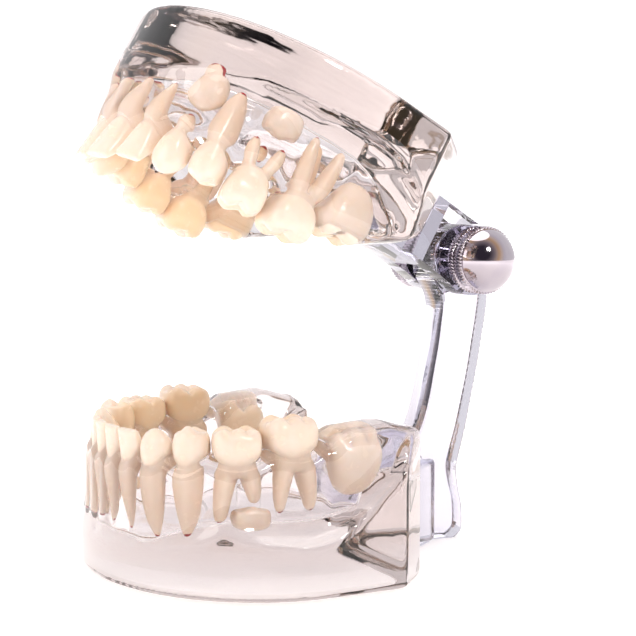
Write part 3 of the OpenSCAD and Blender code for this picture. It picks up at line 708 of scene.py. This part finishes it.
# ---------------------------------------------------------------------------------------------
# Teeth: ivory polyester, cast one by one in small moulds with their roots, then set in the jaw
# moulds before the clear resin is poured. Each is shaped once and mirrored for the other side.
# A form's rows run from the root's tip to the middle of the crown's top: height as a share of the
# root or crown, half width and half thickness as shares of the whole, lean outwards, squareness
# of the section, and how much the row follows the cusps.
FORMS = {
    "incisor": [(-1, 0, 0, -0.1, 1, 0), (-0.97, 0.1, 0.12, -0.1, 1, 0), (-0.7, 0.25, 0.3, -0.05, 1, 0),
                (-0.35, 0.35, 0.42, -0.01, 1, 0), (-0.08, 0.4, 0.46, 0, 0.95, 0),
                (0.1, 0.43, 0.48, 0, 0.9, 0),
                (0.32, 0.46, 0.43, 0.03, 0.85, 0), (0.56, 0.485, 0.32, 0.09, 0.8, 0),
                (0.8, 0.49, 0.21, 0.16, 0.75, 0.2), (0.93, 0.475, 0.14, 0.19, 0.75, 0.6),
                (1, 0.43, 0.07, 0.2, 0.8, 1), (1, 0.25, 0.03, 0.2, 1, 1), (1, 0, 0, 0.2, 1, 1)],
    "canine": [(-1, 0, 0, -0.1, 1, 0), (-0.97, 0.1, 0.12, -0.1, 1, 0), (-0.7, 0.27, 0.29, -0.04, 1, 0),
               (-0.35, 0.37, 0.41, -0.01, 1, 0), (-0.08, 0.41, 0.45, 0, 1, 0),
               (0.12, 0.44, 0.48, 0.02, 0.95, 0),
               (0.35, 0.48, 0.47, 0.03, 0.9, 0), (0.56, 0.49, 0.39, 0.06, 0.9, 0),
               (0.75, 0.42, 0.29, 0.09, 0.9, 0),
               (0.88, 0.3, 0.2, 0.1, 0.95, 0), (0.97, 0.13, 0.12, 0.12, 1, 0), (1, 0, 0, 0.12, 1, 0)],
    "premolar": [(-1, 0, 0, 0, 1, 0), (-0.97, 0.1, 0.11, 0, 1, 0), (-0.7, 0.26, 0.29, 0, 1, 0),
                 (-0.35, 0.36, 0.4, 0, 1, 0), (-0.06, 0.41, 0.44, 0, 1, 0),
                 (0.15, 0.45, 0.47, 0, 0.95, 0),
                 (0.38, 0.49, 0.5, 0, 0.9, 0), (0.6, 0.485, 0.485, 0, 0.9, 0),
                 (0.78, 0.43, 0.44, 0, 0.9, 0.35),
                 (0.9, 0.35, 0.37, 0, 0.9, 0.85), (1, 0.25, 0.27, 0, 1, 1), (1, 0.16, 0.17, 0, 1, 1),
                 (1, 0.08, 0.08, 0, 1, 1), (1, 0, 0, 0, 1, 1)],
    "molar": [(-0.42, 0, 0, 0, 1, 0), (-0.44, 0.22, 0.2, 0, 1, 0), (-0.4, 0.39, 0.33, 0, 0.85, 0),
              (-0.15, 0.405, 0.39, 0, 0.85, 0), (0.05, 0.43, 0.43, 0, 0.75, 0),
              (0.25, 0.47, 0.48, 0, 0.7, 0), (0.45, 0.49, 0.5, 0, 0.7, 0),
              (0.66, 0.485, 0.485, 0, 0.7, 0.1), (0.82, 0.45, 0.44, 0, 0.72, 0.5),
              (0.94, 0.4, 0.39, 0, 0.75, 0.9),
              (1, 0.32, 0.31, 0, 0.8, 1), (1, 0.23, 0.22, 0, 0.9, 1), (1, 0.15, 0.14, 0, 1, 1),
              (1, 0.07, 0.07, 0, 1, 1), (1, 0, 0, 0, 1, 1)],
    "bud": [(-0.9, 0, 0, 0, 1, 0), (-0.88, 0.12, 0.12, 0, 1, 0), (-0.75, 0.25, 0.25, 0, 0.95, 0),
            (-0.45, 0.36, 0.36, 0, 0.9, 0), (-0.1, 0.43, 0.43, 0, 0.85, 0),
            (0.2, 0.48, 0.48, 0, 0.8, 0),
            (0.42, 0.5, 0.5, 0, 0.78, 0),
            (0.64, 0.48, 0.48, 0, 0.75, 0.1), (0.8, 0.43, 0.43, 0, 0.8, 0.5),
            (0.93, 0.36, 0.36, 0, 0.85, 0.9),
            (1, 0.27, 0.27, 0, 0.9, 1), (1, 0.18, 0.18, 0, 1, 1), (1, 0.09, 0.09, 0, 1, 1),
            (1, 0, 0, 0, 1, 1)],
}
TOOTH_GRAIN, TOOTH_SOFTNESS = 0.3, 3
# A form's chewing side: (share along the width, share across, height, spread) for each cusp, then
# (x0, y0, x1, y1, depth) for each groove; shares run from -1 to 1 and cheek is -1 across
CUSPS = {
    "incisor": (0.965, [(-0.62, 0.0, 0.035, 0.2), (0.0, 0.0, 0.03, 0.2), (0.62, 0.0, 0.03, 0.2)], []),
    "premolar": (0.76, [(0, -0.42, 0.24, 0.34), (0, 0.44, 0.15, 0.3), (-0.6, 0.02, 0.05, 0.2),
                        (0.6, 0.02, 0.05, 0.2)], [(-0.42, 0.06, 0.42, 0.06, 0.09)]),
    "lower_molar": (0.76, [(-0.56, -0.46, 0.2, 0.26), (0.04, -0.5, 0.19, 0.25),
                           (0.58, -0.38, 0.17, 0.24),
                           (-0.46, 0.46, 0.23, 0.28), (0.42, 0.46, 0.22, 0.28)],
                    [(-0.6, 0.02, 0.6, 0.02, 0.09), (-0.26, 0, -0.28, -0.9, 0.09),
                    (0.32, 0, 0.34, -0.9, 0.08),
                     (-0.02, 0, 0.0, 0.9, 0.08)]),
    "upper_molar": (0.76, [(-0.5, -0.44, 0.22, 0.28), (0.46, -0.42, 0.2, 0.27), (-0.4, 0.4, 0.23, 0.32),
                           (0.5, 0.5, 0.15, 0.22)],
                    [(-0.6, -0.02, 0.05, 0.0, 0.09), (-0.03, 0, -0.03, -0.9, 0.08),
                    (0.3, -0.05, 0.22, 0.9, 0.08),
                     (0.2, 0.1, 0.6, 0.05, 0.07)]),
}
# root fingers of the molars: reach along the width, reach across the thickness, share of length
ROOTS = {
    "lower_molar": [(-0.27, 0, 1.0), (0.27, 0, 1.0)],
    "lower_milk_molar": [(-0.27, 0, 1.0), (0.27, 0, 0.66)],
    "upper_molar": [(-0.27, -0.2, 1.0), (0.27, -0.2, 1.0), (0, 0.26, 1.0)],
}
# name, form, cusps, width, thickness, crown height, root length, height of the neck, lean
LOWER_TEETH = [
    ("central_incisor", "incisor", "incisor", 5.2, 5.6, 7.2, 12, 22.4, 8),
    ("lateral_incisor", "incisor", "incisor", 5.7, 5.9, 7.2, 12.5, 22.4, 8),
    ("canine", "canine", None, 6.6, 6.8, 7.7, 13, 22.4, 5),
    ("first_premolar", "premolar", "premolar", 6.8, 7.2, 7.6, 13, 23.4, 2),
    ("deciduous_second_molar", "lower_milk_molar", "lower_molar", 9.4, 8.8, 6.5, 11.4, 24.3, -2),
    ("first_molar", "lower_molar", "lower_molar", 10.4, 9.8, 7.2, 10.8, 25.2, -3),
]
UPPER_TEETH = [
    ("central_incisor", "incisor", "incisor", 8, 6.6, 8, 12.5, 45.4, 15),
    ("lateral_incisor", "incisor", "incisor", 6.2, 6.2, 7.2, 11.5, 45.8, 14),
    ("deciduous_canine", "canine", None, 6.6, 6.8, 7, 5.5, 45.8, 8),
    ("first_premolar", "premolar", "premolar", 6.8, 8, 7, 12, 47, 4),
    ("deciduous_second_molar", "upper_molar", "upper_molar", 8.4, 9.4, 6.6, 7, 45, 2),
    ("first_molar", "upper_molar", "upper_molar", 9.8, 10.6, 7.2, 12.5, 45.2, 3),
]
# name, form, cusps, width, thickness, crown height, stub, neck height, lean, arch length, inwards
LOWER_GERMS = [
    ("second_premolar_germ", "bud", "premolar", 6.4, 5.6, 4.4, 1.2, 11.9, 0, 32.2, 0.4),
    ("second_molar_germ", "bud", "lower_molar", 10.8, 9.6, 7.2, 4.4, 20.6, -4, 52.3, 0),
]
UPPER_GERMS = [
    ("canine_germ", "bud_canine", None, 7, 6.4, 7, 2.4, 59, 12, 19.2, 2.6),
    ("second_premolar_germ", "bud", "premolar", 6.4, 6.4, 5.4, 1.6, 58.7, 0, 33.4, 0),
    ("second_molar_germ", "bud", "upper_molar", 10.2, 10.4, 7.6, 4.2, 50.2, 6, 51.2, 0),
]
FORMS["bud_canine"] = [(-1, 0, 0, 0, 1, 0), (-0.95, 0.26, 0.26, 0, 1, 0)] + FORMS["canine"][4:]


def row_at(rows, share):
    """The row at this share of the way along, on a smooth line through all the rows."""
    place_in = share * (len(rows) - 1)
    i = min(int(place_in), len(rows) - 2)
    t = place_in - i
    b, c = np.array(rows[i]), np.array(rows[i + 1])
    a = np.array(rows[i - 1]) if i > 0 else b
    d = np.array(rows[i + 2]) if i + 2 < len(rows) else c
    return 0.5 * (2 * b + (c - a) * t + (2 * a - 5 * b + 4 * c - d) * t * t
                  + (3 * b - a - 3 * c + d) * t ** 3)


def chewing_height(cusps, u, v):
    """Height of the chewing side, as a share of the crown, at shares u along and v across."""
    floor_height, peaks, grooves = CUSPS[cusps]
    height = floor_height
    for x, y, rise, spread in peaks:
        height += rise * math.exp(-((u - x) ** 2 + (v - y) ** 2) / (2 * spread * spread))
    for x0, y0, x1, y1, cut_depth in grooves:
        span = (x1 - x0) ** 2 + (y1 - y0) ** 2
        t = max(0.0, min(1.0, ((u - x0) * (x1 - x0) + (v - y0) * (y1 - y0)) / span))
        gap = (u - x0 - t * (x1 - x0)) ** 2 + (v - y0 - t * (y1 - y0)) ** 2
        height -= cut_depth * math.exp(-gap / 0.008)
    return height


def wavy_outline(form, angle):
    """Lobes on the sides of molar and bud crowns below their cusps; other crowns stay plain."""
    if form in ("molar", "bud"):
        return 1 + 0.022 * math.cos(4 * angle + math.pi)
    return 1.0


def tooth_body(name, form, cusps, w, t, crown, root, around, along):
    rows = FORMS[form]

    def put(share, turn):
        rise, half_w, half_t, lean, square, follows = row_at(rows, share)
        half_w, half_t = max(0.0, half_w), max(0.0, half_t)
        c, s = math.cos(turn * math.tau), math.sin(turn * math.tau)
        lobes = wavy_outline(form, turn * math.tau) if rise > 0 else 1.0
        x = half_w * w * math.copysign(abs(c) ** square, c) * lobes
        y = half_t * t * math.copysign(abs(s) ** square, s) * lobes
        if form == "incisor" and s > 0 and rise > 0:
            y -= 0.1 * t * math.exp(-((rise - 0.62) / 0.25) ** 2) * (1 - (x / (0.5 * w)) ** 2)
        height = rise
        if cusps and follows > 0:
            height = (1 - follows) * min(rise, 1) + follows * chewing_height(cusps, 2 * x / w, 2 * y / t)
        return (x, y - lean * t, height * (crown if height > 0 else root))

    return bent_ball(name, around, along, put)


def root_finger(w, t, root, reach_x, reach_y, share):
    """One root of a molar: a bent, tapering finger that starts inside the crown."""
    lengths = [-0.1, 0.06, 0.35, 0.7, 0.93, 1]
    radii = [0.2, 0.2, 0.185, 0.14, 0.09, 0]
    reaches = [0.4, 0.5, 0.8, 1, 1.04, 1.04]

    def put(along, turn):
        deep = 1.1 * along - 0.1
        radius = w * float(np.interp(deep, lengths, radii)) * (1 if along > 0 else 0)
        bend = float(np.interp(deep, lengths, reaches))
        wide = 1.6 if reach_y == 0 else 1.1
        return (reach_x * w * bend + radius * math.cos(turn * math.tau),
                reach_y * t * bend + radius * wide * math.sin(turn * math.tau), -root * share * deep)

    return bent_ball("root", 20, 20, put)


def make_tooth(name, form, cusps, w, t, crown, root):
    """One tooth standing on its neck, crown up, cheek side towards -Y, in millimetres."""
    if form in ROOTS:
        tooth = tooth_body(name, "molar", cusps, w, t, crown, crown, 56, 52)
        for reach_x, reach_y, share in ROOTS[form]:
            combine(tooth, root_finger(w, t, root, reach_x, reach_y, share), "UNION")
        melt(tooth, TOOTH_GRAIN, TOOTH_SOFTNESS)
    else:
        tooth = tooth_body(name, form, cusps, w, t, crown, root, 40, 44)
        only(tooth)
        bpy.ops.object.shade_smooth()
    mesh = tooth.data
    tongue_side = mesh.attributes.new("tongue_side", "FLOAT", "POINT")
    rootward = mesh.attributes.new("rootward", "FLOAT", "POINT")
    root_tip = mesh.attributes.new("root_tip", "FLOAT", "POINT")
    for i, point in enumerate(mesh.vertices):
        tongue_side.data[i].value = max(0.0, min(1.0, 0.5 + 0.9 * point.co.y / t))
        rootward.data[i].value = max(0.0, min(1.0, 0.5 - 0.8 * point.co.z / crown))
        root_tip.data[i].value = max(0.0, 1 - (point.co.z + root) / 1.4)
    return tooth


def seat(arch, s, inwards, neck, lean, upper):
    """Where a tooth stands: on the arch, turned along it, upside down in the upper jaw."""
    x, y, heading = arch_point(arch, s)
    x, y = x - inwards * math.sin(heading), y + inwards * math.cos(heading)
    stand = Matrix.Translation((x, y, neck)) @ Matrix.Rotation(heading, 4, "Z")
    if upper:
        stand = stand @ Matrix.Scale(-1, 4, (0, 0, 1))
    return stand @ Matrix.Rotation(math.radians(lean), 4, "X")


# Filled ivory polyester: creamy crowns that let a little light in, its colour running warmer and more
# orange towards the tongue side and towards the roots, mottled over about 2 mm, and glossy as moulded.
# Some root tips keep a red pencil mark about a millimetre across.
ivory, tree = new_finish("ivory_polyester_casting")
place = step(tree, "ShaderNodeTexCoord")
mottle = step(tree, "ShaderNodeTexNoise", values={"Scale": 1 / 0.002, "Detail": 3},
              links={"Vector": place.outputs["Object"]})
speck = step(tree, "ShaderNodeTexNoise", values={"Scale": 1 / 0.0009, "Detail": 2},
             links={"Vector": place.outputs["Object"]})
to_root = step(tree, "ShaderNodeAttribute", {"attribute_name": "rootward"})
to_tongue = step(tree, "ShaderNodeAttribute", {"attribute_name": "tongue_side"})
to_tip = step(tree, "ShaderNodeAttribute", {"attribute_name": "root_tip"})
body_tone = step(tree, "ShaderNodeMix", {"data_type": "RGBA"}, {"A": linear("F7E8DA"), "B": linear("F7E2CE")},
                 {"Factor": to_root.outputs["Fac"]})
inner_share = step(tree, "ShaderNodeMapRange",
                   values={"From Min": 0.45, "From Max": 1.0, "To Min": 0.0, "To Max": 0.7},
                   links={"Value": to_tongue.outputs["Fac"]})
inner_tone = step(tree, "ShaderNodeMix", {"data_type": "RGBA"}, {"B": linear("F4CB8A")},
                  {"A": body_tone.outputs["Result"], "Factor": inner_share.outputs["Result"]})
mottle_share = step(tree, "ShaderNodeMapRange",
                    values={"From Min": 0.35, "From Max": 0.75, "To Min": 0.0, "To Max": 0.35},
                    links={"Value": mottle.outputs["Fac"]})
mottled = step(tree, "ShaderNodeMix", {"data_type": "RGBA"}, {"B": linear("F0D9BF")},
               {"A": inner_tone.outputs["Result"], "Factor": mottle_share.outputs["Result"]})
mark_edge = step(tree, "ShaderNodeMath", {"operation": "MULTIPLY"},
                 links={0: to_tip.outputs["Fac"], 1: speck.outputs["Fac"]})
mark = step(tree, "ShaderNodeMapRange", values={"From Min": 0.30, "From Max": 0.34},
            links={"Value": mark_edge.outputs["Value"]})
marked = step(tree, "ShaderNodeMix", {"data_type": "RGBA"}, {"B": linear("A3151B")},
              {"A": mottled.outputs["Result"], "Factor": mark.outputs["Result"]})
skin_bump = step(tree, "ShaderNodeBump", values={"Strength": 0.12, "Distance": 0.00008},
                 links={"Height": mottle.outputs["Fac"]})
shine = step(tree, "ShaderNodeMapRange", values={"To Min": 0.16, "To Max": 0.34},
             links={"Value": mottle.outputs["Fac"]})
enamel = step(tree, "ShaderNodeBsdfPrincipled",
              values={"IOR": 1.54, "Subsurface Weight": 0.25, "Subsurface Radius": (1.0, 0.62, 0.4),
                      "Subsurface Scale": 0.0016},
              links={"Base Color": marked.outputs["Result"], "Roughness": shine.outputs["Result"],
                     "Normal": skin_bump.outputs["Normal"]})
step(tree, "ShaderNodeOutputMaterial", links={"Surface": enamel.outputs[0]})


def set_in_jaw(jaw, row, arch, s, inwards):
    """Makes the left tooth, seats it, and mirrors it for the right."""
    name, form, cusps, w, t, crown, root, neck, lean = row
    upper = jaw == "upper"
    stand = seat(arch, s, inwards, neck, lean, upper)
    left = make_tooth("tooth", form, cusps, w, t, crown, root)
    left.data.materials.append(ivory)
    right = left.copy()
    right.data = left.data.copy()
    bpy.context.scene.collection.objects.link(right)
    for side, piece, turn in (("left", left, stand), ("right", right, MIRROR @ stand)):
        node_name = jaw + "_" + side + "_" + name
        to_metres(piece, node_name + "_cast", SWING @ turn if upper else turn)
        face_out(piece, merge=False)
        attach(piece, jaw + "_half")
        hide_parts(node_name)


for jaw, arch, teeth, germs, widths in (("lower", LOWER_ARCH, LOWER_TEETH, LOWER_GERMS, LOWER_WIDTHS),
                                        ("upper", UPPER_ARCH, UPPER_TEETH, UPPER_GERMS, UPPER_WIDTHS)):
    for row, s in zip(teeth, tooth_centres(widths)):
        set_in_jaw(jaw, row, arch, s, 0)
    for row in germs:
        set_in_jaw(jaw, row[:9], arch, row[9], row[10])
